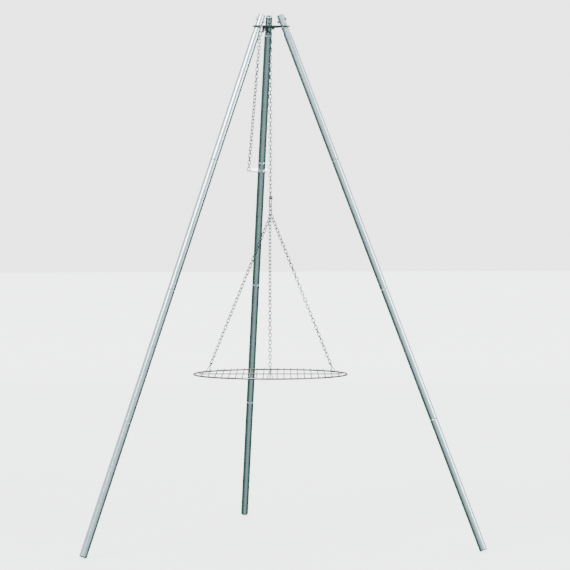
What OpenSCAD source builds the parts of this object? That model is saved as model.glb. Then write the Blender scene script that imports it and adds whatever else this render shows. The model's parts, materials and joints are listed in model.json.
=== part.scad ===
// Campfire tripod with a chain-hung cooking grate.
// Three legs of plug-together steel tube lean against a head plate. A chain runs from a sliding
// cleat on the back leg, over two bows under the plate, down to a swivel snap hook. The round
// wire grate hangs from the hook on three chains.
// Millimetres, +Z up. The back leg is on +Y. The origin is on the ground, at the middle of the
// stance's rectangle.

/* [Legs] */
// Angle of each leg from the vertical
leg_splay = 22.2; // [16:0.1:28]
// Length of one leg tube
tube_length = 448; // [380:1:520]
// Outside diameter of the leg tube
tube_od = 22; // [20:0.5:26]
// Wall thickness of the leg tube
tube_wall = 1.2; // [1:0.1:1.5]
// Length of the reduced spigot at the top of each tube
spigot_length = 56; // [50:1:70]
// Radial gap between a spigot and the tube it plugs into
spigot_gap = 0.15; // [0.1:0.01:0.3]
// Length of the shoulder between tube and spigot
shoulder_length = 3; // [2:0.5:6]
// Distance from the hinge pin to the top of the leg
top_reach = 39; // [34:1:44]
// Radius of the rolled edge at the foot
foot_round = 3; // [2:0.5:4]

/* [Head plate] */
// Radius of the circle on which the legs cross the plate
hole_circle = 43; // [40:0.5:50]
// Thickness of the plate
plate_t = 3; // [2:0.5:4]
// Radius of each rounded corner
plate_corner = 16.5; // [15.5:0.5:20]
// Gap between a leg hole and its leg at the tightest place
hole_gap = 0.32; // [0.3:0.02:0.6]
// Diameter of the hinge pins under the plate
pin_d = 4.5; // [4:0.1:5]
// Length of a hinge pin
pin_length = 34; // [32:1:40]
// Diameter of the stop bolts above the plate
bolt_d = 5; // [4:0.5:5]
// Distance from the hinge pin to the stop bolt along the leg
bolt_reach = 23; // [19:1:26]

/* [Lift chain] */
// Distance from one link's bearing point to the next
link_pitch = 11.15; // [10:0.05:13]
// Outside width of a link
link_width = 10; // [9.5:0.1:11]
// Diameter of the chain wire
link_wire = 2.2; // [2:0.1:2.4]
// Height of the run's first bearing point below the middle of the plate
crown_drop = 16.2; // [16.2:0.1:20]
// Links in the run, from the head to the snap hook
run_links = 41; // [31:2:51]
// Links in the tail, from the head to the cleat
tail_links = 40; // [30:1:50]
// Diameter of the guide bows
bow_wire = 4; // [3:0.5:4]

/* [Cleat] */
// Thickness of the cleat
cleat_t = 3; // [2:0.5:4]
// Radius of the cleat around the leg
cleat_r = 18.6; // [17:0.2:22]
// Distance from the leg to the middle of the chain's hole
cleat_arm = 33.5; // [30:0.5:40]
// Gap between the cleat and the leg
cleat_gap = 0.35; // [0.3:0.05:0.8]

/* [Snap hook] */
// Turn of the hook about the vertical
hook_turn = 45; // [0:5:90]
// Distance from the eye's bearing point down to the hook's bearing point
hook_length = 40.35; // [36:0.05:48]
// Diameter of the hook's rod
hook_wire = 3.5; // [3:0.1:3.6]
// Radius of the hook's bend, to the middle of the rod
hook_bend = 4.5; // [4.2:0.1:5]
// Outside length of the gather link
gather_length = 20; // [18:0.5:24]
// Outside width of the gather link
gather_width = 14; // [14:0.5:16]
// Diameter of the gather link's wire
gather_wire = 3; // [2.6:0.1:3]

/* [Grate] */
// Outside diameter of the grate
grate_d = 444.5; // [400:0.5:480]
// Diameter of the rim wire
rim_wire = 4.8; // [4:0.1:6]
// Diameter of the bars
bar_wire = 3; // [2.5:0.1:3.5]
// Distance between neighbouring bars
bar_pitch = 19.4; // [18:0.1:22]
// Bars on each side of the middle one
side_bars = 10; // [8:1:10]
// Diameter of the stiffening cross bar
cross_wire = 3.5; // [3:0.1:4]
// Distance from each end of the cross bar to the middle of the rim
cross_inset = 15; // [10:1:20]
// Turn of the grate about the vertical
grate_turn = -7.5; // [-20:0.5:20]
// Links in each grate chain
grate_links = 43; // [35:2:51]
// Length of a wire hanger from its eye's bearing point to the rim
hanger_length = 27; // [24:1:29]
// Angle of the two rear hangers from the cross bar
rear_hanger_turn = 33.5; // [32.5:0.5:34]

/* [Hidden] */

fine = 48;
wide = 96;
eps = 0.01;
weld = 0.3;

// Leg directions about the vertical, and the side on which each pin wears its ring
back_turn = 90;
left_turn = 210;
right_turn = 330;

// Tube
tube_r = tube_od / 2;
bore_r = tube_r - tube_wall;
spigot_r = bore_r - spigot_gap;
spigot_bore_r = spigot_r - tube_wall;
joint_step = tube_length - spigot_length;
leg_reach = tube_length + 3 * joint_step - top_reach;
pin_r = pin_d / 2;
pin_bore_r = pin_r + 0.05;
bolt_r = bolt_d / 2;
bolt_bore_r = bolt_r + 0.05;
bolt_head_r = 4.6;
bolt_head_t = 3.5;
nut_t = 4;
ring_r = 5;
ring_wire_r = 0.6;
ring_hole_r = 1.25;
ring_inset = 3;

// Stance: the rolled foot edge is a torus, and its lowest point is on the ground
foot_ring_r = tube_r - foot_round;
pin_drop = plate_t / 2 + pin_r + 0.3;
pin_circle = hole_circle + pin_drop * tan(leg_splay);
foot_end_z = foot_round - foot_round * cos(leg_splay) + foot_ring_r * sin(leg_splay);
pin_z = foot_end_z + leg_reach * cos(leg_splay);
plate_z = pin_z + pin_drop;
foot_ring_out = pin_circle + (leg_reach - foot_round) * sin(leg_splay);
stance_back = foot_ring_out + foot_ring_r * cos(leg_splay) + foot_round;
stance_front = foot_ring_out / 2 + foot_round
    + foot_ring_r * sqrt(1 - pow(sin(leg_splay) / 2, 2));
axis_y = -(stance_back - stance_front) / 2;

// Plate
leg_hole_r = spigot_r / cos(leg_splay) + plate_t / 2 * tan(leg_splay) + hole_gap;

// Chain: end wires of neighbouring links cross just clear of each other
link_r = link_wire / 2;
link_lap = link_r + 0.12;
link_bend = link_width / 2 - link_r;
bend_reach = link_bend - link_lap;
// The chain turns over the bows in two corners of 45 degrees at each end of a level link.
// A link swings about the middle of its neighbour's bend at each corner.
crown_a = [0, 0, -crown_drop];
corner_a = crown_a - [0, 0, bend_reach];
corner_rise = (link_pitch + 2 * bend_reach) * sqrt(0.5);
corner_b = corner_a + [-corner_rise, 0, corner_rise];
corner_c = corner_b - [link_pitch - 2 * bend_reach, 0, 0];
corner_d = corner_c - [corner_rise, 0, corner_rise];
crown_d = corner_d + [0, 0, bend_reach];
bow_r = bow_wire / 2;
bow_offset = (bow_r + link_r + 0.3) * sqrt(0.5);
run_bow_at = (corner_a + corner_b) / 2 - [bow_offset, 0, bow_offset];
tail_bow_at = (corner_c + corner_d) / 2 + [bow_offset, 0, -bow_offset];
bow_half = 9;
bow_bend = 4;

// Cleat, in the back leg's own frame: its chain link bears under the plate
cleat_hole_r = 3;
cleat_wall = 3;
cleat_end_r = cleat_hole_r + cleat_wall;
cleat_link_x = cleat_arm + cleat_hole_r + cleat_wall / 2;
leg_down = [0, sin(leg_splay), -cos(leg_splay)];
back_pin = [0, pin_circle, -pin_drop];
tail_from = back_pin - [cleat_link_x, 0, 0] - crown_d;
tail_length = tail_links * link_pitch;
along_leg = tail_from * leg_down;
tail_reach = -along_leg + sqrt(along_leg * along_leg - tail_from * tail_from + tail_length * tail_length);
cleat_seat = bend_reach - sqrt(bend_reach * bend_reach - cleat_wall * cleat_wall / 4);
cleat_reach = tail_reach - cleat_seat - cleat_t / 2;
tail_twist = tail_links % 2 == 0 ? 90 / (tail_links - 1) : 0;
tail_end = crown_d + tail_from + tail_reach * leg_down;

// Hanging stack below the plate, at the tripod's axis
run_end = crown_a - [0, 0, run_links * link_pitch];
eye_r = 4.6;
eye_wire_r = 1.5;
eye_z = run_end[2] + eye_wire_r + 0.12 - eye_r;
hook_r = hook_wire / 2;
hook_bear_z = run_end[2] - hook_length;
hook_arc_z = hook_bear_z - hook_r - 0.12 + hook_bend;
collar_r = 4.6;
collar_t = 4.5;
collar_z = eye_z - eye_r - eye_wire_r - 0.8;
stem_r = 1.5;
stem_head_r = 2.4;
stem_head_t = 1.8;
stem_head_z = collar_z - collar_t - 0.4;
gate_r = 1.4;
gate_x = hook_bend + 0.1;
gate_z = stem_head_z - stem_head_t - 1.6;
gate_boss_r = 2.2;
gate_half = 1.7;
gate_end_z = hook_arc_z + 4.5;
hook_tip_z = gate_end_z - 0.6;
rivet_r = 0.9;
ear_gap = 0.3;
ear_t = 1.3;
gather_z = hook_bear_z - link_pitch;
gather_r = gather_wire / 2;
gather_bend = gather_width / 2 - gather_r;
gather_top_z = gather_z + gather_r + 0.12;
gather_bottom_z = gather_top_z - (gather_length - gather_wire);
gather_arc_z = gather_bottom_z + gather_bend;

// Grate chains: the left one hangs at the gather link's bottom, the others inside its bend
side_offset = 2.3;
seat_gap = gather_r + link_r + 0.12;
seat_r = gather_bend - seat_gap;
seat_drop = sqrt(seat_r * seat_r - side_offset * side_offset);
rim_r = rim_wire / 2;
rim_ring_r = grate_d / 2 - rim_r;
slant = grate_links * link_pitch + hanger_length;
grate_z = gather_arc_z - seat_r - sqrt(pow(slant + link_lap, 2) - pow(rim_ring_r, 2));
bar_r = bar_wire / 2;
bar_z = rim_r + bar_r - weld;
cross_r = cross_wire / 2;
cross_z = bar_z - bar_r - cross_r + weld;
bar_overhang = 2;
hanger_r = 1.2;
hanger_eye_wire_r = 1.3;
hanger_eye_r = 3.6;
hanger_spread = 8;

function around(r, turn, z) = [r * cos(turn), r * sin(turn), z];
function unit(v) = v / norm(v);
function hanger_turn(name) = grate_turn
    + (name == "front" ? 270 : name == "left" ? 180 - rear_hanger_turn : rear_hanger_turn);
function rim_point(name) = around(rim_ring_r, hanger_turn(name), grate_z);
// Middle of the gather link's wire, which the left chain's line runs through
gather_point = [0, 0, gather_bottom_z];
// Middle of the first link's wire
function seat(name) = name == "left"
    ? gather_point - seat_gap * unit(rim_point(name) - gather_point)
    : around(name == "front" ? -side_offset : side_offset, hook_turn, gather_arc_z - seat_drop);
function chain_start(name) = seat(name) + link_lap * unit(rim_point(name) - seat(name));
function chain_end(name) = rim_point(name)
    + hanger_length * unit(chain_start(name) - rim_point(name));

// Moves its children from the plate's middle to their place over the ground
module at_head() {
    translate([0, axis_y, plate_z]) children();
}

// Leg frame: origin on the hinge pin, +Z up the leg, +X away from the tripod's axis
module at_leg(turn) {
    at_head()
        rotate([0, 0, turn])
            translate([pin_circle, 0, -pin_drop])
                rotate([0, -leg_splay, 0])
                    children();
}

// Puts +Z on the line from a to b, with +X turned by roll about it
module along(a, b, roll = 0) {
    v = b - a;
    translate(a)
        rotate([0, acos(v[2] / norm(v)), atan2(v[1], v[0])])
            rotate([0, 0, roll])
                children();
}

// Round rod with rounded ends
module rod(a, b, r) {
    along(a, b)
        cylinder(r = r, h = norm(b - a), $fn = fine);
    translate(a) sphere(r = r, $fn = fine);
    translate(b) sphere(r = r, $fn = fine);
}

// Part of a wire ring in the XZ plane, from angle a to angle b
module wire_arc(ring, wire, a, b) {
    rotate([90, 0, 0])
        rotate([0, 0, a])
            rotate_extrude(angle = b - a, $fn = fine)
                translate([ring, 0])
                    circle(r = wire, $fn = fine);
}

// Oval link in the XZ plane, from its lowest to its highest bend
module oval(low, high, half_width, wire) {
    for (side = [-1, 1])
        translate([side * half_width, 0, low + half_width])
            cylinder(r = wire, h = high - low - 2 * half_width, $fn = fine);
    translate([0, 0, low + half_width]) wire_arc(half_width, wire, 180, 360);
    translate([0, 0, high - half_width]) wire_arc(half_width, wire, 0, 180);
}

// One chain link between the bearing points at z = 0 and z = pitch
module link(pitch) {
    oval(-link_lap, pitch + link_lap, link_bend, link_r);
}

// Straight chain of n links from a to b: each link is a quarter turn on from the last, plus twist
module chain(a, b, n, roll, twist = 0) {
    pitch = norm(b - a) / n;
    for (i = [0 : n - 1])
        along(a, b, roll + i * (90 + twist))
            translate([0, 0, i * pitch])
                link(pitch);
}

// Slab with round ends: radius big at the origin, radius small at distance reach along -X
module egg_slab(big, small, reach, t) {
    lean = acos((big - small) / reach);
    dir = [-cos(lean), sin(lean)];
    cylinder(r = big, h = t, center = true, $fn = wide);
    translate([-reach, 0, 0]) cylinder(r = small, h = t, center = true, $fn = wide);
    linear_extrude(t, center = true)
        polygon([
            big * dir, [-reach, 0] + small * dir,
            [-reach - small * cos(lean), -small * sin(lean)], [-big * cos(lean), -big * sin(lean)]
        ]);
}

module head_plate() {
    color("darkslategray") at_head() difference() {
        union() {
            for (turn = [back_turn, left_turn, right_turn])
                rotate([0, 0, turn]) {
                    translate([hole_circle, 0, 0])
                        cylinder(r = plate_corner, h = plate_t, center = true, $fn = wide);
                    rotate([0, 0, 60])
                        translate([hole_circle / 4 + plate_corner / 2, 0, 0])
                            cube([hole_circle / 2 + plate_corner, hole_circle * sqrt(3), plate_t], center = true);
                }
        }
        for (turn = [back_turn, left_turn, right_turn])
            rotate([0, 0, turn])
                translate([hole_circle, 0, 0])
                    cylinder(r = leg_hole_r, h = plate_t + 2, center = true, $fn = wide);
    }
}

// U-shaped bow under the plate, its rod along Y
module bow(at) {
    top = -plate_t / 2;
    color("darkslategray") at_head() translate([at[0], 0, 0]) rotate([0, 0, 90]) {
        translate([0, 0, at[2]])
            rotate([0, 90, 0])
                cylinder(r = bow_r, h = 2 * (bow_half - bow_bend), center = true, $fn = fine);
        for (side = [-1, 1]) {
            translate([side * (bow_half - bow_bend), 0, at[2] + bow_bend])
                wire_arc(bow_bend, bow_r, side > 0 ? 270 : 180, side > 0 ? 360 : 270);
            translate([side * bow_half, 0, at[2] + bow_bend])
                cylinder(r = bow_r, h = top - at[2] - bow_bend, $fn = fine);
        }
    }
}

module chain_crown() {
    up = [-sqrt(0.5), 0, sqrt(0.5)];
    down = [-sqrt(0.5), 0, -sqrt(0.5)];
    color("slategray") at_head() {
        chain(corner_a + bend_reach * up, corner_b - bend_reach * up, 1, 90);
        chain(corner_b + [bend_reach, 0, 0], corner_c - [bend_reach, 0, 0], 1, 0);
        chain(corner_c + bend_reach * down, corner_d - bend_reach * down, 1, 90);
    }
}

// Leg tube, number 1 at the top. Tube 1 has the bolt and pin holes; tube 4 has the rolled foot.
module leg_tube(turn, number) {
    low = top_reach - tube_length - (number - 1) * joint_step;
    main = joint_step - shoulder_length;
    foot_arc = [
        for (a = [0 : 15 : 90])
            [foot_ring_r + foot_round * sin(a), foot_round - foot_round * cos(a)]
    ];
    plain_end = [[bore_r, 0], [tube_r, 0]];
    foot_end = concat([[foot_ring_r, tube_wall], [foot_ring_r, 0]], [for (i = [1 : len(foot_arc) - 1]) foot_arc[i]]);
    color("gainsboro") at_leg(turn) difference() {
        translate([0, 0, low])
            rotate_extrude($fn = wide)
                polygon(concat(
                    number == 4 ? [[bore_r, foot_round]] : [],
                    number == 4 ? foot_end : plain_end,
                    [
                        [tube_r, main], [spigot_r, joint_step], [spigot_r, tube_length - 1],
                        [spigot_r - 0.6, tube_length], [spigot_bore_r, tube_length],
                        [spigot_bore_r, joint_step - 1], [bore_r, main - 2]
                    ]
                ));
        if (number == 1) {
            rotate([90, 0, 0])
                cylinder(r = pin_bore_r, h = 3 * tube_od, center = true, $fn = fine);
            translate([0, 0, bolt_reach])
                rotate([0, 90, 0])
                    cylinder(r = bolt_bore_r, h = 3 * tube_od, center = true, $fn = fine);
        }
    }
}

// Plain cross pin that carries the plate, with a ring hole at one end
module hinge_pin(turn, side) {
    color("silver") at_leg(turn) rotate([side * 90, 0, 0]) difference() {
        cylinder(r = pin_r, h = pin_length, center = true, $fn = fine);
        translate([0, 0, ring_inset - pin_length / 2])
            rotate([0, 90, -side * leg_splay])
                cylinder(r = ring_hole_r, h = 4 * pin_r, center = true, $fn = fine);
    }
}

// Pull ring hanging from the pin
module pull_ring(turn, side) {
    color("silver") at_leg(turn)
        translate([0, side * (pin_length / 2 - ring_inset), 0])
            rotate([0, leg_splay, 0])
                translate([0, 0, -ring_r])
                    rotate([90, 0, 0])
                        rotate_extrude($fn = fine)
                            translate([ring_r, 0])
                                circle(r = ring_wire_r, $fn = fine);
}

// Bolt across the spigot above the plate, head outward
module stop_bolt(turn) {
    shank = spigot_r + nut_t + 2;
    color("silver") at_leg(turn) translate([0, 0, bolt_reach]) rotate([0, 90, 0]) {
        translate([0, 0, -shank])
            cylinder(r = bolt_r, h = shank + spigot_r + 0.5, $fn = fine);
        translate([0, 0, spigot_r + 0.2])
            cylinder(r = bolt_head_r, h = bolt_head_t, $fn = 6);
    }
}

module stop_nut(turn) {
    color("silver") at_leg(turn) translate([0, 0, bolt_reach]) rotate([0, -90, 0]) difference() {
        translate([0, 0, spigot_r + 0.2])
            cylinder(r = bolt_head_r, h = nut_t, $fn = 6);
        cylinder(r = bolt_bore_r, h = 4 * spigot_r, $fn = fine);
    }
}

module chain_tail() {
    first = roll_to(crown_d, tail_end, [1, 0, 0]);
    color("slategray") at_head() chain(crown_d, tail_end, tail_links, first, tail_twist);
}

module cleat() {
    color("silver") at_leg(back_turn) translate([0, 0, -cleat_reach]) rotate([0, 0, -90]) difference() {
        egg_slab(cleat_r, cleat_end_r, cleat_arm, cleat_t);
        cylinder(r = tube_r + cleat_gap, h = cleat_t + 2, center = true, $fn = wide);
        translate([-cleat_arm, 0, 0])
            cylinder(r = cleat_hole_r, h = cleat_t + 2, center = true, $fn = fine);
    }
}

module run_top_link() {
    color("slategray") at_head() chain(crown_a - [0, 0, link_pitch], crown_a, 1, 0);
}

module chain_run() {
    color("slategray") at_head()
        chain(crown_a - [0, 0, link_pitch], run_end, run_links - 1, 90);
}

// Eye with a headed stem that turns in the hook's collar
module swivel_eye() {
    color("dimgray") at_head() {
        translate([0, 0, eye_z]) rotate([0, 0, 90]) wire_arc(eye_r, eye_wire_r, 0, 360);
        translate([0, 0, stem_head_z - stem_head_t])
            cylinder(r = stem_head_r, h = stem_head_t, $fn = fine);
        translate([0, 0, stem_head_z - eps])
            cylinder(r = stem_r, h = eye_z - eye_r - stem_head_z + eps, $fn = fine);
    }
}

// Hook frame: X across the hook, the gate on +X
module at_hook() {
    at_head() rotate([0, 0, hook_turn]) children();
}

module snap_hook() {
    ear_in = gate_half + ear_gap;
    color("gray") at_hook() {
        difference() {
            translate([0, 0, collar_z - collar_t])
                cylinder(r = collar_r, h = collar_t, $fn = fine);
            translate([0, 0, collar_z - 2 * collar_t])
                cylinder(r = stem_r + 0.08, h = 3 * collar_t, $fn = fine);
        }
        rod([-hook_bend, 0, collar_z - collar_t / 2], [-hook_bend, 0, hook_arc_z], hook_r);
        translate([0, 0, hook_arc_z]) wire_arc(hook_bend, hook_r, 180, 360);
        rod([hook_bend, 0, hook_arc_z], [hook_bend, 0, hook_tip_z - hook_r], hook_r);
        for (side = [-1, 1])
            translate([0, side * (ear_in + ear_t / 2), 0])
                rotate([90, 0, 0])
                    difference() {
                        union() {
                            translate([gate_x, gate_z, 0])
                                cylinder(r = gate_boss_r, h = ear_t, center = true, $fn = fine);
                            translate([gate_x - gate_boss_r, gate_z, -ear_t / 2])
                                cube([gate_boss_r + 1.2, collar_z - 1 - gate_z, ear_t]);
                        }
                        translate([gate_x, gate_z, 0])
                            cylinder(r = rivet_r + 0.05, h = 3 * ear_t, center = true, $fn = fine);
                    }
    }
}

module gate_rivet() {
    reach = gate_half + ear_gap + ear_t;
    color("silver") at_hook() translate([gate_x, 0, gate_z]) rotate([90, 0, 0]) {
        cylinder(r = rivet_r, h = 2 * reach, center = true, $fn = fine);
        for (side = [-1, 1])
            translate([0, 0, side * (reach + 0.3)])
                cylinder(r = rivet_r + 0.7, h = 0.6, center = true, $fn = fine);
    }
}

module snap_gate() {
    inner = hook_bend - hook_r - 0.35;
    color("silver") at_hook() difference() {
        union() {
            translate([gate_x, 0, gate_z])
                rotate([90, 0, 0])
                    cylinder(r = gate_boss_r, h = 2 * gate_half, center = true, $fn = fine);
            translate([gate_x, 0, gate_end_z])
                cylinder(r = gate_r, h = gate_z - gate_end_z, $fn = fine);
            translate([inner - 1, -gate_r, gate_end_z])
                cube([gate_x - inner + 1, 2 * gate_r, 1.6]);
            translate([inner - 1, -gate_r, gate_end_z - 3])
                cube([1, 2 * gate_r, 3.2]);
        }
        translate([gate_x, 0, gate_z])
            rotate([90, 0, 0])
                cylinder(r = rivet_r + 0.06, h = 4 * gate_half, center = true, $fn = fine);
    }
}

module hook_link() {
    color("slategray") at_hook()
        chain([0, 0, gather_z], [0, 0, hook_bear_z], 1, 90);
}

module gather_link() {
    color("slategray") at_hook() oval(gather_bottom_z, gather_top_z, gather_bend, gather_r);
}

// Roll that puts a link's width square to the line from a to b, and nearest to direction w
function roll_to(a, b, w) =
    let (
        d = unit(b - a), pole = acos(d[2]), spin = atan2(d[1], d[0]),
        x = [cos(pole) * cos(spin), cos(pole) * sin(spin), -sin(pole)],
        y = [-sin(spin), cos(spin), 0]
    )
    atan2(w * y, w * x);

// The first link crosses the gather link, and the last crosses the hanger's eye, so the chain
// takes the difference as an even twist
module grate_chain(name) {
    a = chain_start(name);
    b = chain_end(name);
    first = roll_to(a, b, around(1, hook_turn + 90, 0));
    last = roll_to(a, b, around(1, hanger_turn(name), 0));
    extra = last - first - 180 * round((last - first) / 180);
    color("slategray") at_head() chain(a, b, grate_links, first, extra / (grate_links - 1));
}

// Wire hanger: an eye for the chain and two legs welded to the rim
module hanger(name) {
    a = chain_end(name);
    b = rim_point(name);
    eye = [0, 0, hanger_length + hanger_eye_wire_r + 0.12 - hanger_eye_r];
    color("darkgray") at_head() along(b, a, roll_to(b, a, around(1, hanger_turn(name) + 90, 0))) {
        translate(eye) wire_arc(hanger_eye_r, hanger_eye_wire_r, 0, 360);
        for (side = [-1, 1]) {
            foot = [side * hanger_spread, 0, rim_r + hanger_r - weld];
            top = eye + hanger_eye_r * unit(foot - eye);
            along(foot, top)
                cylinder(r = hanger_r, h = norm(top - foot), $fn = fine);
            translate(foot) sphere(r = hanger_r, $fn = fine);
        }
    }
}

// Grate frame: origin at the rim's centre, bars along Y
module at_grate() {
    at_head() translate([0, 0, grate_z]) rotate([0, 0, grate_turn]) children();
}

module grate_rim() {
    color("rosybrown") at_grate()
        rotate_extrude($fn = wide)
            translate([rim_ring_r, 0])
                circle(r = rim_r, $fn = fine);
}

module grate_bars() {
    color("rosybrown") at_grate()
        for (i = [-side_bars : side_bars]) {
            half = sqrt(pow(rim_ring_r, 2) - pow(i * bar_pitch, 2)) + bar_overhang;
            translate([i * bar_pitch, 0, bar_z])
                rotate([90, 0, 0])
                    cylinder(r = bar_r, h = 2 * half, center = true, $fn = fine);
        }
}

module grate_cross_bar() {
    color("rosybrown") at_grate()
        translate([0, 0, cross_z])
            rotate([0, 90, 0])
                cylinder(r = cross_r, h = 2 * (rim_ring_r - cross_inset), center = true, $fn = fine);
}

head_plate();
bow(run_bow_at);  // run_bow
bow(tail_bow_at);  // tail_bow
chain_crown();
leg_tube(back_turn, 1);  // back_tube_1
leg_tube(back_turn, 2);  // back_tube_2
leg_tube(back_turn, 3);  // back_tube_3
leg_tube(back_turn, 4);  // back_tube_4
leg_tube(left_turn, 1);  // left_tube_1
leg_tube(left_turn, 2);  // left_tube_2
leg_tube(left_turn, 3);  // left_tube_3
leg_tube(left_turn, 4);  // left_tube_4
leg_tube(right_turn, 1);  // right_tube_1
leg_tube(right_turn, 2);  // right_tube_2
leg_tube(right_turn, 3);  // right_tube_3
leg_tube(right_turn, 4);  // right_tube_4
hinge_pin(back_turn, 1);  // back_hinge_pin
hinge_pin(left_turn, 1);  // left_hinge_pin
hinge_pin(right_turn, -1);  // right_hinge_pin
pull_ring(back_turn, 1);  // back_pull_ring
pull_ring(left_turn, 1);  // left_pull_ring
pull_ring(right_turn, -1);  // right_pull_ring
stop_bolt(back_turn);  // back_stop_bolt
stop_bolt(left_turn);  // left_stop_bolt
stop_bolt(right_turn);  // right_stop_bolt
stop_nut(back_turn);  // back_stop_nut
stop_nut(left_turn);  // left_stop_nut
stop_nut(right_turn);  // right_stop_nut
chain_tail();
cleat();
run_top_link();
chain_run();
swivel_eye();
snap_hook();
gate_rivet();
snap_gate();
hook_link();
gather_link();
grate_chain("front");  // grate_chain_front
grate_chain("left");  // grate_chain_left
grate_chain("right");  // grate_chain_right
hanger("front");  // hanger_front
hanger("left");  // hanger_left
hanger("right");  // hanger_right
grate_rim();
grate_bars();
grate_cross_bar();
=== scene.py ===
import json
import math

import bpy
import numpy as np
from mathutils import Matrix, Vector


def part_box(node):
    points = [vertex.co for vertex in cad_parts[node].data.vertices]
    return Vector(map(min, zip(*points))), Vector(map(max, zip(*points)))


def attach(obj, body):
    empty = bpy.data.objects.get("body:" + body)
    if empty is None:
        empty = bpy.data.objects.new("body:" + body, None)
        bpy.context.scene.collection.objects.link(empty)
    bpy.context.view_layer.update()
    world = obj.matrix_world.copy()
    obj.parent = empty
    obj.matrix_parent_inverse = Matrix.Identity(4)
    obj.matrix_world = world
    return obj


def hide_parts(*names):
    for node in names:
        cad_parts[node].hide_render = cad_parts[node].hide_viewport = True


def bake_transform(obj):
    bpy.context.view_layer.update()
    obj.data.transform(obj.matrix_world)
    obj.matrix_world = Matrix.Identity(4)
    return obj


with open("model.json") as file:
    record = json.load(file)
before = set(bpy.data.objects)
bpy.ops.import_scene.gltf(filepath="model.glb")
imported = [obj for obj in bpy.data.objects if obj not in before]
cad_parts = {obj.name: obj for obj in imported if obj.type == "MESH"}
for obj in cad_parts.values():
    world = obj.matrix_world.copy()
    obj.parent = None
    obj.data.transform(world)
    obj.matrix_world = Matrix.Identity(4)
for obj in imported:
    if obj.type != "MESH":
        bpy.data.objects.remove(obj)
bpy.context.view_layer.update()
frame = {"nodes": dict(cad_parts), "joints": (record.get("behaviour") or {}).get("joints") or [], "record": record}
record = frame["record"]
nodes = frame["nodes"]
rng = np.random.default_rng(7)

MM = 0.001


# ---------------------------------------------------------------- helpers
def joint(name):
    """The record's entry for one joint."""
    return next(j for j in frame["joints"] if j["name"] == name)


def unit(v):
    v = np.asarray(v, float)
    return v / np.linalg.norm(v)


def vertices(node):
    """All vertices of a CAD node, one row each."""
    mesh = nodes[node].data
    co = np.empty(len(mesh.vertices) * 3)
    mesh.vertices.foreach_get("co", co)
    return co.reshape(-1, 3)


def solids(node):
    """The vertices of each separate solid of a CAD node."""
    mesh = nodes[node].data
    co = vertices(node)
    _, same = np.unique(np.round(co * 1e6).astype(np.int64), axis=0, return_inverse=True)
    same = same.ravel()
    ends = np.empty(len(mesh.edges) * 2, np.int64)
    mesh.edges.foreach_get("vertices", ends)
    a, b = same[ends[0::2]], same[ends[1::2]]
    label = np.arange(same.max() + 1)
    while True:
        low = np.minimum(label[a], label[b])
        new = label.copy()
        np.minimum.at(new, a, low)
        np.minimum.at(new, b, low)
        new = new[new]
        if np.array_equal(new, label):
            break
        label = new
    label = label[same]
    return [co[label == k] for k in np.unique(label)]


def principal_axes(points):
    """Unit axes of a cloud of points as columns, from its thinnest direction to its longest."""
    _, vectors = np.linalg.eigh(np.cov((points - points.mean(0)).T))
    return vectors


def make(name, verts, faces, material):
    """A smooth-shaded mesh object in the scene."""
    mesh = bpy.data.meshes.new(name)
    mesh.from_pydata([tuple(v) for v in verts], [], faces)
    mesh.validate()
    mesh.polygons.foreach_set("use_smooth", [True] * len(mesh.polygons))
    mesh.update()
    obj = bpy.data.objects.new(name, mesh)
    bpy.context.scene.collection.objects.link(obj)
    obj.data.materials.append(material)
    return obj


class Builder:
    """Collects swept wires and other small solids into one mesh."""

    def __init__(self):
        self.verts, self.faces, self.count = [], [], 0

    def add(self, verts, faces):
        self.verts.append(np.asarray(verts, float))
        self.faces += [tuple(i + self.count for i in f) for f in faces]
        self.count += len(verts)

    def sweep(self, path, radius, sides=12, closed=False, up=(0.0, 0.0, 1.0)):
        """Round wire along a path. radius is a number or one number for each point."""
        p = np.asarray(path, float)
        n = len(p)
        r = np.broadcast_to(np.asarray(radius, float), (n,))
        if closed:
            t = np.roll(p, -1, 0) - np.roll(p, 1, 0)
        else:
            t = np.gradient(p, axis=0)
        t /= np.linalg.norm(t, axis=1)[:, None]
        side = np.cross(t[0], up)
        if np.linalg.norm(side) < 1e-6:
            side = np.cross(t[0], (1.0, 0.0, 0.0))
        side = unit(side)
        rings = []
        angle = np.linspace(0, 2 * math.pi, sides, endpoint=False)
        for i in range(n):
            side = unit(side - t[i] * (side @ t[i]))
            other = np.cross(t[i], side)
            circle = np.outer(np.cos(angle), side) + np.outer(np.sin(angle), other)
            rings.append(p[i] + r[i] * circle)
        faces = []
        last = n if closed else n - 1
        for i in range(last):
            j = (i + 1) % n
            for k in range(sides):
                m = (k + 1) % sides
                faces.append((i * sides + k, j * sides + k, j * sides + m, i * sides + m))
        if not closed:
            faces.append(tuple(range(sides)))
            faces.append(tuple((n - 1) * sides + k for k in reversed(range(sides))))
        self.add(np.concatenate(rings), faces)

    def blob(self, centre, radii, lump=0.0, rings=8, sides=12):
        """Lumpy upright ellipsoid, such as a spot weld."""
        verts, faces = [], []
        for i in range(rings + 1):
            polar = math.pi * i / rings
            out = math.sin(polar)
            for k in range(sides):
                turn = 2 * math.pi * k / sides
                ray = np.array([out * math.cos(turn), out * math.sin(turn), math.cos(polar)])
                verts.append(centre + ray * radii * (1 + lump * rng.normal() * out))
        for i in range(rings):
            for k in range(sides):
                m = (k + 1) % sides
                below = (i + 1) * sides
                faces.append((i * sides + k, i * sides + m, below + m, below + k))
        self.add(verts, faces)

    def done(self, name, material):
        return make(name, np.concatenate(self.verts), self.faces, material)


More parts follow.
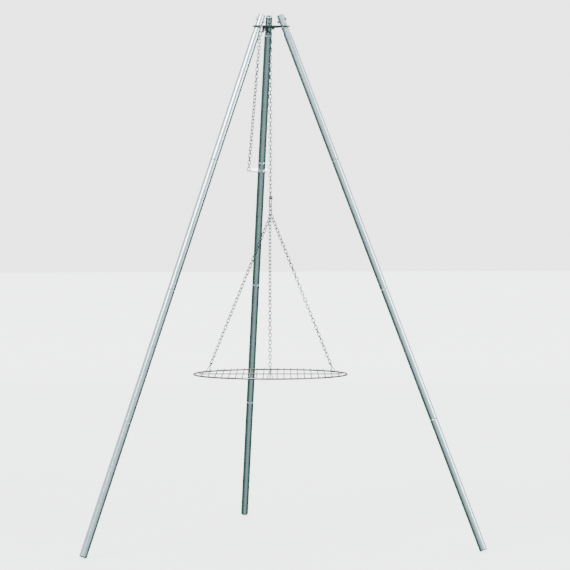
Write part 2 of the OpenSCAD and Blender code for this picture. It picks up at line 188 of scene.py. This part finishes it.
# ---------------------------------------------------------------- materials
def material(name):
    """An empty principled material, with its tree, its shader and the object's own coordinates."""
    m = bpy.data.materials.new(name)
    m.use_nodes = True
    tree = m.node_tree
    tree.nodes.clear()
    out = tree.nodes.new("ShaderNodeOutputMaterial")
    bsdf = tree.nodes.new("ShaderNodeBsdfPrincipled")
    tree.links.new(bsdf.outputs[0], out.inputs[0])
    coord = tree.nodes.new("ShaderNodeTexCoord")
    return m, tree, bsdf, coord.outputs["Object"]


def noise(tree, vector, scale, detail=4.0, rough=0.55):
    n = tree.nodes.new("ShaderNodeTexNoise")
    n.inputs["Scale"].default_value = scale
    n.inputs["Detail"].default_value = detail
    n.inputs["Roughness"].default_value = rough
    tree.links.new(vector, n.inputs["Vector"])
    return n.outputs["Fac"]


def ramp(tree, fac, stops):
    """Colour ramp. Each stop is a place and a colour, or a place and a grey value."""
    r = tree.nodes.new("ShaderNodeValToRGB")
    e = r.color_ramp.elements
    while len(e) < len(stops):
        e.new(0.5)
    for item, (at, colour) in zip(e, stops):
        item.position = at
        if isinstance(colour, (int, float)):
            colour = (colour, colour, colour)
        item.color = (*colour, 1.0)
    tree.links.new(fac, r.inputs[0])
    return r.outputs[0]


def mix(tree, fac, a, b, mode="MIX"):
    """Mix of two colours. Every input is a value or another node's output."""
    m = tree.nodes.new("ShaderNodeMix")
    m.data_type = "RGBA"
    m.blend_type = mode
    for socket, value in ((m.inputs[0], fac), (m.inputs[6], a), (m.inputs[7], b)):
        if isinstance(value, (int, float)):
            socket.default_value = value
        elif isinstance(value, tuple):
            socket.default_value = (*value, 1.0)
        else:
            tree.links.new(value, socket)
    return m.outputs[2]


def bump(tree, bsdf, height, strength, distance):
    b = tree.nodes.new("ShaderNodeBump")
    b.inputs["Strength"].default_value = strength
    b.inputs["Distance"].default_value = distance
    tree.links.new(height, b.inputs["Height"])
    tree.links.new(b.outputs[0], bsdf.inputs["Normal"])


PATCH_SCALE = 38.0
GLOSS_SCALE = 120.0
SPOT_SCALE = 240.0
SPANGLE_SHARE = 0.25
SCRATCH_DEPTH = 0.2 * MM


def metal(name, light, dark, rough, grime=(0.1, 0.1, 0.09), grain=900.0, wear=0.25, seed=0.0, scratch=0.10):
    """Plated steel: patches of lighter and darker plating, fine scratches, and grime in spots."""
    m, tree, bsdf, where = material(name)
    shift = tree.nodes.new("ShaderNodeMapping")
    shift.inputs["Location"].default_value = (seed, seed * 0.7, seed * 1.3)
    tree.links.new(where, shift.inputs["Vector"])
    at = shift.outputs[0]
    patches = ramp(tree, noise(tree, at, PATCH_SCALE, 5.0, 0.6), [(0.35, dark), (0.62, light)])
    spangle = ramp(tree, noise(tree, at, grain, 2.0, 0.5), [(0.38, 0.82), (0.62, 1.0)])
    colour = mix(tree, SPANGLE_SHARE, patches, spangle, "MULTIPLY")
    spots = ramp(tree, noise(tree, at, SPOT_SCALE, 8.0, 0.7), [(0.60, 0.0), (0.74, 1.0)])
    worn = tree.nodes.new("ShaderNodeMath")
    worn.operation = "MULTIPLY"
    worn.inputs[1].default_value = wear
    tree.links.new(spots, worn.inputs[0])
    colour = mix(tree, worn.outputs[0], colour, grime)
    tree.links.new(colour, bsdf.inputs["Base Color"])
    smears = noise(tree, at, GLOSS_SCALE, 6.0, 0.65)
    gloss = ramp(tree, smears, [(0.3, rough * 0.75), (0.7, rough * 1.3)])
    tree.links.new(gloss, bsdf.inputs["Roughness"])
    bsdf.inputs["Metallic"].default_value = 1.0
    bump(tree, bsdf, noise(tree, at, grain * 1.7, 4.0, 0.6), scratch, SCRATCH_DEPTH)
    return m


ZINC = metal(
    "zinc_tube", (0.80, 0.92, 0.96), (0.70, 0.82, 0.86), 0.24, grain=700.0, wear=0.05, scratch=0.03,
)
PLATE = metal(
    "dark_zinc", (0.15, 0.20, 0.18), (0.07, 0.10, 0.09), 0.34, grime=(0.05, 0.05, 0.045), wear=0.3, seed=3.1,
)
BRIGHT = metal("bright_zinc", (0.78, 0.80, 0.79), (0.60, 0.62, 0.61), 0.26, wear=0.15, seed=5.7)
CHAIN = metal("chain_zinc", (0.22, 0.29, 0.30), (0.12, 0.17, 0.17), 0.30, grime=(0.16, 0.16, 0.13), seed=8.2)
HOOK = metal("hook_nickel", (0.42, 0.42, 0.40), (0.27, 0.27, 0.25), 0.24, wear=0.2, seed=1.9)
EYE = metal("eye_steel", (0.32, 0.28, 0.23), (0.20, 0.17, 0.14), 0.36, wear=0.3, seed=6.4)
WIRE = metal(
    "grate_nickel", (0.34, 0.29, 0.25), (0.21, 0.17, 0.145), 0.27, grime=(0.20, 0.15, 0.11), seed=2.5,
)

LOOK = {
    "leg_tube": ZINC,
    "plate_and_bows": PLATE,
    "fasteners": BRIGHT,
    "chain": CHAIN,
    "snap_hook": HOOK,
    "swivel_eye": EYE,
    "grate_wire": WIRE,
}
for part in record["subparts"]:
    obj = nodes[part["node"]]
    obj.data.materials.clear()
    obj.data.materials.append(LOOK[part["material_slot"]])

# ---------------------------------------------------------------- chains
WIRE_R = 1.1 * MM
WIRE_SIDES = 12
ARC_POINTS = 18
SIDE_POINTS = 4
WELD_REACH = 0.9 * MM
WELD_BULGE = 0.13
WIRE_VARIATION = 0.01
# The tail is built as two pieces: its topmost stretch, which hangs from the head, and the rest, which goes on to
# the cleat.
TAIL_TOP_LENGTH = 64 * MM


def link_path(points):
    """Centre line of the CAD link whose vertices are given, as an oval in the link's own plane.

    Returns the points, their places across and along the link, and the plane's normal.
    """
    centre = points.mean(0)
    _, wide_axis, long_axis = principal_axes(points).T
    a, b = (points - centre) @ long_axis, (points - centre) @ wide_axis
    centre = centre + long_axis * (a.max() + a.min()) / 2 + wide_axis * (b.max() + b.min()) / 2
    half_long = (a.max() - a.min()) / 2 - WIRE_R
    half_wide = (b.max() - b.min()) / 2 - WIRE_R
    straight = half_long - half_wide
    arc = np.linspace(0, math.pi, ARC_POINTS)
    flat = np.linspace(-1, 1, SIDE_POINTS + 2)[1:-1]
    side = np.full(SIDE_POINTS, half_wide)
    u = np.concatenate([half_wide * np.cos(arc), -side, -half_wide * np.cos(arc), side])
    v = np.concatenate([
        straight + half_wide * np.sin(arc), -flat * straight,
        -straight - half_wide * np.sin(arc), flat * straight,
    ])
    path = centre + np.outer(u, wide_axis) + np.outer(v, long_axis)
    return path, u, v, np.cross(long_axis, wide_axis)


def chain(name, node, keep=lambda path: True):
    """Links with the small butt weld on one side, in place of a CAD chain. keep picks links by centre."""
    out = Builder()
    for points in solids(node):
        path, u, v, normal = link_path(points)
        if not keep(path.mean(0)):
            continue
        side = rng.choice((-1, 1))
        weld = np.exp(-((v / WELD_REACH) ** 2)) * (np.sign(u) == side)
        uneven = WIRE_VARIATION * rng.normal(size=len(path))
        out.sweep(path, WIRE_R * (1 + WELD_BULGE * weld + uneven), WIRE_SIDES, closed=True, up=normal)
    obj = out.done(name, CHAIN)
    return obj


low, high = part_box("chain_run")
run = chain("lift_chain_run", "chain_run")
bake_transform(run)
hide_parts("chain_run")

low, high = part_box("chain_tail")
split = high.z - TAIL_TOP_LENGTH
tail_upper = chain("lift_chain_tail_top", "chain_tail", lambda c: c[2] > split)
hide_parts("chain_tail")
tail_lower = chain("lift_chain_tail", "chain_tail", lambda c: c[2] <= split)
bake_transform(tail_upper)
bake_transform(tail_lower)

for node, body in (
    ("chain_crown", "head"), ("run_top_link", "run_top"), ("hook_link", "hook_and_grate"),
    ("grate_chain_front", "hook_and_grate"), ("grate_chain_left", "hook_and_grate"),
    ("grate_chain_right", "hook_and_grate"),
):
    piece = chain("links_" + node, node)
    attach(piece, body)
    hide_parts(node)

# ---------------------------------------------------------------- welds and rings
RIM_WELD = np.array([1.9, 1.9, 0.9]) * MM
CROSS_WELD = np.array([1.7, 1.7, 0.7]) * MM
HANGER_WELD = np.array([1.8, 1.8, 1.3]) * MM
WELD_SINK = 0.1 * MM
HANGER_WELD_DROP = 0.4 * MM
# A hanger's feet are all of it within this height of its lowest point.
HANGER_FOOT = 1.6 * MM
BEAD_R = 0.75 * MM
BEAD_OUT = 0.35 * MM
BEAD_DROP = 0.25 * MM
BEAD_POINTS = 28
BEAD_LUMPS = 9
RING_WIRE = 0.34 * MM
RING_INSET = 0.6 * MM
RING_PITCH = 0.55 * MM
RING_POINTS = 90

rim_low, rim_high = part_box("grate_rim")
rim_centre = np.array((rim_low + rim_high) / 2)
rim_wire = (rim_high.z - rim_low.z) / 2
rim_ring = (rim_high.x - rim_low.x) / 2 - rim_wire
_, cross_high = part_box("grate_cross_bar")
cross_reach = np.linalg.norm(vertices("grate_cross_bar")[:, :2] - rim_centre[:2], axis=1).max()

welds = Builder()
for points in solids("grate_bars"):
    run_line = principal_axes(points)[:, 2]
    offset = (points.min(0) + points.max(0)) / 2 - rim_centre
    beside = offset - run_line * (offset @ run_line)
    reach = math.sqrt(rim_ring**2 - beside[0] ** 2 - beside[1] ** 2)
    for sign in (-1, 1):
        foot = rim_centre + beside * (1, 1, 0) + sign * reach * run_line
        foot[2] = rim_centre[2] + rim_wire - WELD_SINK
        welds.blob(foot, RIM_WELD * rng.uniform(0.9, 1.1), lump=0.05)
    crossing = rim_centre + beside
    crossing[2] = cross_high.z - WELD_SINK
    if np.linalg.norm(beside) < cross_reach - 2 * MM:
        welds.blob(crossing, CROSS_WELD * rng.uniform(0.9, 1.1), lump=0.05)
for name in ("hanger_front", "hanger_left", "hanger_right"):
    points = vertices(name)
    low_points = points[points[:, 2] < points[:, 2].min() + HANGER_FOOT]
    along_rim = (low_points - low_points.mean(0)) @ principal_axes(low_points)[:, 2]
    for sign in (-1, 1):
        foot = low_points[along_rim * sign > 0].mean(0)
        welds.blob(foot - np.array([0, 0, HANGER_WELD_DROP]), HANGER_WELD, lump=0.06)
grate_welds = welds.done("grate_welds", WIRE)
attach(grate_welds, "hook_and_grate")

beads = Builder()
plate_low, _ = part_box("head_plate")
for name in ("run_bow", "tail_bow"):
    bow_low, bow_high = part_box(name)
    bow_r = (bow_high.x - bow_low.x) / 2
    x = (bow_low.x + bow_high.x) / 2
    ring = np.linspace(0, 2 * math.pi, BEAD_POINTS, endpoint=False)
    for y in (bow_low.y + bow_r, bow_high.y - bow_r):
        path = np.stack([
            x + (bow_r + BEAD_OUT) * np.cos(ring),
            y + (bow_r + BEAD_OUT) * np.sin(ring),
            np.full(BEAD_POINTS, plate_low.z - BEAD_DROP),
        ], 1)
        beads.sweep(path, BEAD_R * (1 + 0.12 * np.sin(ring * BEAD_LUMPS)), 8, closed=True)
bow_welds = beads.done("bow_welds", PLATE)
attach(bow_welds, "head")

for leg in ("back", "left", "right"):
    points = vertices(leg + "_pull_ring")
    centre = (points.min(0) + points.max(0)) / 2
    normal, b, a = principal_axes(points).T
    ring_r = np.linalg.norm(points - centre, axis=1).max() - RING_INSET
    turns = np.linspace(0, 4 * math.pi, RING_POINTS)
    path = centre + ring_r * (np.outer(np.cos(turns), a) + np.outer(np.sin(turns), b))
    path += np.outer((turns / (2 * math.pi) - 1) * RING_PITCH, normal)
    split_ring = Builder()
    split_ring.sweep(path, RING_WIRE, 10, up=normal)
    ring_obj = split_ring.done(leg + "_split_ring", BRIGHT)
    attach(ring_obj, leg + "_leg")
    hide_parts(leg + "_pull_ring")

# ---------------------------------------------------------------- floor, light, camera
FAR_WHITE = 3.4
NEAR_WHITE = 2.2
FLOOR_HALF = 30.0
FLOOR_Z = -0.5 * MM
floor_material, tree, bsdf, where = material("floor")
paper = ramp(tree, noise(tree, where, 3.0, 4.0, 0.5), [(0.3, 0.90), (0.7, 0.93)])
tree.links.new(paper, bsdf.inputs["Base Color"])
bsdf.inputs["Roughness"].default_value = 0.9
bsdf.inputs["Emission Color"].default_value = (1.0, 1.0, 1.0, 1.0)
# The floor's own light rises outwards to that of the backdrop, so that the horizon is faint.
from_middle = tree.nodes.new("ShaderNodeVectorMath")
from_middle.operation = "LENGTH"
tree.links.new(where, from_middle.inputs[0])
fade = tree.nodes.new("ShaderNodeMapRange")
fade.interpolation_type = "SMOOTHSTEP"
fade.inputs["From Min"].default_value = 0.8
fade.inputs["From Max"].default_value = 9.0
fade.inputs["To Min"].default_value = NEAR_WHITE
fade.inputs["To Max"].default_value = FAR_WHITE
tree.links.new(from_middle.outputs["Value"], fade.inputs["Value"])
tree.links.new(fade.outputs[0], bsdf.inputs["Emission Strength"])
corners = [(x * FLOOR_HALF, y * FLOOR_HALF, FLOOR_Z) for x, y in ((-1, -1), (1, -1), (1, 1), (-1, 1))]
floor = make("floor", corners, [(0, 1, 2, 3)], floor_material)
floor.visible_glossy = False

SKY_STRENGTH = 1.15
world = bpy.data.worlds.new("studio")
bpy.context.scene.world = world
world.use_nodes = True
tree = world.node_tree
tree.nodes.clear()
out = tree.nodes.new("ShaderNodeOutputWorld")
coord = tree.nodes.new("ShaderNodeTexCoord")
split_xyz = tree.nodes.new("ShaderNodeSeparateXYZ")
tree.links.new(coord.outputs["Generated"], split_xyz.inputs[0])
height = tree.nodes.new("ShaderNodeMapRange")
height.inputs["From Min"].default_value = -1.0
height.inputs["From Max"].default_value = 1.0
tree.links.new(split_xyz.outputs["Z"], height.inputs["Value"])
# Lower half, which lights the metal from below: grey-blue towards -Y, and dark green elsewhere.
ahead = tree.nodes.new("ShaderNodeMapRange")
ahead.inputs["From Min"].default_value = -0.30
ahead.inputs["From Max"].default_value = -0.62
tree.links.new(split_xyz.outputs["Y"], ahead.inputs["Value"])
ground = mix(tree, ahead.outputs[0], (0.05, 0.11, 0.075), (0.34, 0.43, 0.46))
sky = ramp(tree, height.outputs[0], [
    (0.0, (0.30, 0.36, 0.38)), (0.57, (0.72, 0.84, 0.88)), (1.0, (1.0, 1.08, 1.14)),
])
above = ramp(tree, height.outputs[0], [(0.47, 0.0), (0.56, 1.0)])
sky = mix(tree, above, ground, sky)
# The camera sees a plain backdrop, and everything else is lit by the sky above.
seen = tree.nodes.new("ShaderNodeBackground")
seen.inputs[0].default_value = (1.0, 1.0, 1.0, 1.0)
seen.inputs[1].default_value = FAR_WHITE
lit = tree.nodes.new("ShaderNodeBackground")
tree.links.new(sky, lit.inputs[0])
lit.inputs[1].default_value = SKY_STRENGTH
ray = tree.nodes.new("ShaderNodeLightPath")
both = tree.nodes.new("ShaderNodeMixShader")
tree.links.new(ray.outputs["Is Camera Ray"], both.inputs[0])
tree.links.new(lit.outputs[0], both.inputs[1])
tree.links.new(seen.outputs[0], both.inputs[2])
tree.links.new(both.outputs[0], out.inputs[0])


def area(name, at, target, size, power, colour):
    """Round soft light at one point, aimed at another."""
    light = bpy.data.lights.new(name, "AREA")
    light.shape = "DISK"
    light.size = size
    light.energy = power
    light.color = colour
    obj = bpy.data.objects.new(name, light)
    bpy.context.scene.collection.objects.link(obj)
    obj.location = at
    obj.rotation_mode = "QUATERNION"
    obj.rotation_quaternion = (Vector(target) - Vector(at)).to_track_quat("-Z", "Y")


area("key", (-2.6, -3.2, 4.2), (0, -0.1, 0.8), 2.4, 230.0, (1.0, 0.99, 0.97))
area("fill", (3.6, -2.6, 2.6), (0, -0.1, 0.7), 2.6, 110.0, (0.95, 0.98, 1.0))
area("back", (0.6, 3.4, 3.6), (0, -0.1, 0.9), 2.2, 120.0, (0.97, 0.99, 1.0))

# The camera stands on the -Y side, a little to -X, and looks slightly down.
CAMERA_DISTANCE = 7.716
CAMERA_HEIGHT = 0.97
CAMERA_AROUND = math.radians(82.78)
CAMERA_TURN = math.radians(82.47)
CAMERA_TILT = math.radians(-1.74)
lens = bpy.data.cameras.new("camera")
lens.sensor_width = 36.0
lens.lens = 170.0
lens.clip_start, lens.clip_end = 0.1, 100.0
camera = bpy.data.objects.new("camera", lens)
bpy.context.scene.collection.objects.link(camera)
middle_y = joint("chain_swing_y")["pos_m"][1]
camera.location = (
    -CAMERA_DISTANCE * math.cos(CAMERA_AROUND),
    middle_y - CAMERA_DISTANCE * math.sin(CAMERA_AROUND),
    CAMERA_HEIGHT,
)
looking = Vector((
    math.cos(CAMERA_TURN) * math.cos(CAMERA_TILT),
    math.sin(CAMERA_TURN) * math.cos(CAMERA_TILT),
    math.sin(CAMERA_TILT),
))
camera.rotation_mode = "QUATERNION"
camera.rotation_quaternion = looking.to_track_quat("-Z", "Y")
bpy.context.scene.camera = camera

# ---------------------------------------------------------------- finish
bpy.context.view_layer.update()
